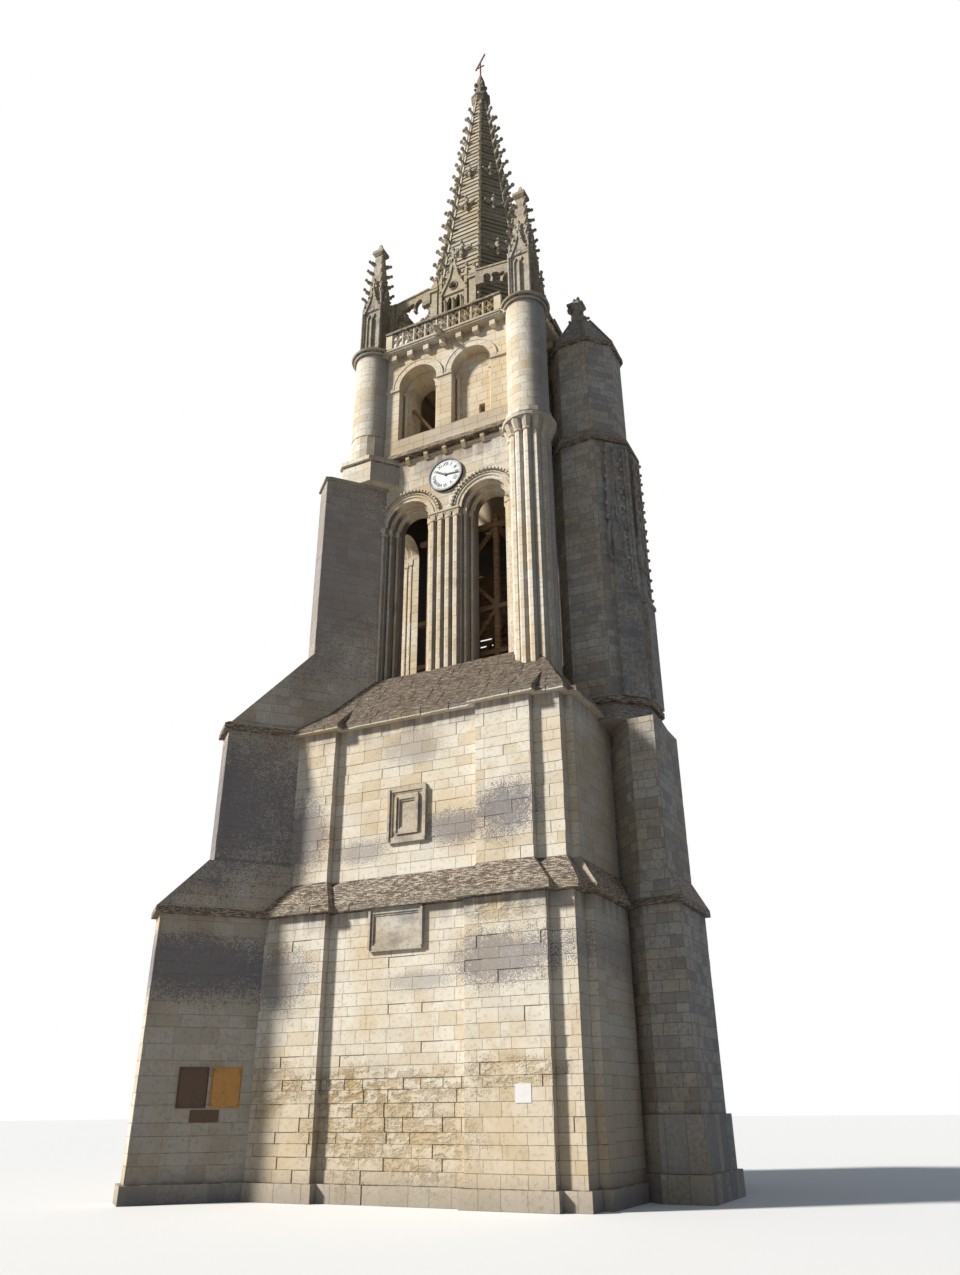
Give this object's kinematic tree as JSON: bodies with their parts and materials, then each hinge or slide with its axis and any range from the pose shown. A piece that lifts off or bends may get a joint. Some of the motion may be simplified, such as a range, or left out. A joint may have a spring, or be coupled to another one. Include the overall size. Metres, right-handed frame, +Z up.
{
  "type": "bell tower, 1:10 scale model",
  "caption": "Square stone bell tower with buttress, stair turret, paired belfry windows, clock, pierced parapet, pinnacles and crocketed spire; one-tenth scale.",
  "frame": {"origin": "on the ground at the axis of the spire", "axes": "+Z up, the clock front faces -Y, the stair turret stands on the +X side"},
  "size_m": [1.4873, 1.4163, 5.2926],
  "materials": {
    "lower_wall_front": "weathered pale limestone, rough",
    "lower_wall_right": "weathered pale limestone, rough",
    "lower_wall_back": "weathered pale limestone, rough",
    "lower_wall_left": "weathered pale limestone, rough",
    "middle_wall_front": "weathered pale limestone, rough",
    "middle_wall_right": "weathered pale limestone, rough",
    "middle_wall_back": "weathered pale limestone, rough",
    "middle_wall_left": "weathered pale limestone, rough",
    "belfry_wall_front": "weathered pale limestone, rough",
    "belfry_wall_right": "weathered pale limestone, rough",
    "belfry_wall_back": "weathered pale limestone, rough",
    "belfry_wall_left": "weathered pale limestone, rough",
    "upper_wall_front": "weathered pale limestone, rough",
    "upper_wall_right": "weathered pale limestone, rough",
    "upper_wall_back": "weathered pale limestone, rough",
    "upper_wall_left": "weathered pale limestone, rough",
    "corner_turret_front_right": "weathered pale limestone, rough",
    "corner_turret_back_right": "weathered pale limestone, rough",
    "corner_turret_back_left": "weathered pale limestone, rough",
    "corner_turret_front_left": "weathered pale limestone, rough",
    "balustrade_front": "weathered pale limestone, rough",
    "balustrade_right": "weathered pale limestone, rough",
    "balustrade_back": "weathered pale limestone, rough",
    "balustrade_left": "weathered pale limestone, rough",
    "pinnacle_front_right": "weathered pale limestone, rough",
    "pinnacle_back_right": "weathered pale limestone, rough",
    "pinnacle_back_left": "weathered pale limestone, rough",
    "pinnacle_front_left": "weathered pale limestone, rough",
    "ground_floor": "weathered pale limestone, rough",
    "sloped_cap_course": "weathered pale limestone, rough",
    "terrace_slab": "weathered pale limestone, rough",
    "spire_shell": "weathered pale limestone, rough",
    "spire_ribs": "weathered pale limestone, rough",
    "spire_lucarnes": "weathered pale limestone, rough",
    "spire_finial": "weathered pale limestone, rough",
    "corner_buttress": "weathered pale limestone, rough",
    "stair_turret_foot": "weathered pale limestone, rough",
    "stair_turret_upper": "weathered pale limestone, rough",
    "stair_turret_cap": "weathered pale limestone, rough",
    "bell_frame": "weathered oak, matt",
    "iron_cross": "rusted iron",
    "clock_face": "white enamelled dial",
    "clock_rim_and_hands": "black paint, half matt",
    "wall_plates": "browned bronze, bare",
    "wall_tile": "white glaze, bare"
  },
  "bodies": {
    "root": {"lower_wall_front": "lower_wall_front", "lower_wall_right": "lower_wall_right", "lower_wall_back": "lower_wall_back", "lower_wall_left": "lower_wall_left", "middle_wall_front": "middle_wall_front", "middle_wall_right": "middle_wall_right", "middle_wall_back": "middle_wall_back", "middle_wall_left": "middle_wall_left", "belfry_wall_front": "belfry_wall_front", "belfry_wall_right": "belfry_wall_right", "belfry_wall_back": "belfry_wall_back", "belfry_wall_left": "belfry_wall_left", "upper_wall_front": "upper_wall_front", "upper_wall_right": "upper_wall_right", "upper_wall_back": "upper_wall_back", "upper_wall_left": "upper_wall_left", "corner_turret_front_right": "corner_turret_front_right", "corner_turret_back_right": "corner_turret_back_right", "corner_turret_back_left": "corner_turret_back_left", "corner_turret_front_left": "corner_turret_front_left", "balustrade_front": "balustrade_front", "balustrade_right": "balustrade_right", "balustrade_back": "balustrade_back", "balustrade_left": "balustrade_left", "pinnacle_front_right": "pinnacle_front_right", "pinnacle_back_right": "pinnacle_back_right", "pinnacle_back_left": "pinnacle_back_left", "pinnacle_front_left": "pinnacle_front_left", "ground_floor": "ground_floor", "sloped_cap_course": "sloped_cap_course", "terrace_slab": "terrace_slab", "spire_shell": "spire_shell", "spire_ribs": "spire_ribs", "spire_lucarnes": "spire_lucarnes", "spire_finial": "spire_finial", "corner_buttress": "corner_buttress", "stair_turret_foot": "stair_turret_foot", "stair_turret_upper": "stair_turret_upper", "stair_turret_cap": "stair_turret_cap", "bell_frame": "bell_frame", "iron_cross": "iron_cross", "clock_face": "clock_face", "clock_rim_and_hands": "clock_rim_and_hands", "wall_plates": "wall_plates", "wall_tile": "wall_tile"}
  },
  "joints": []
}
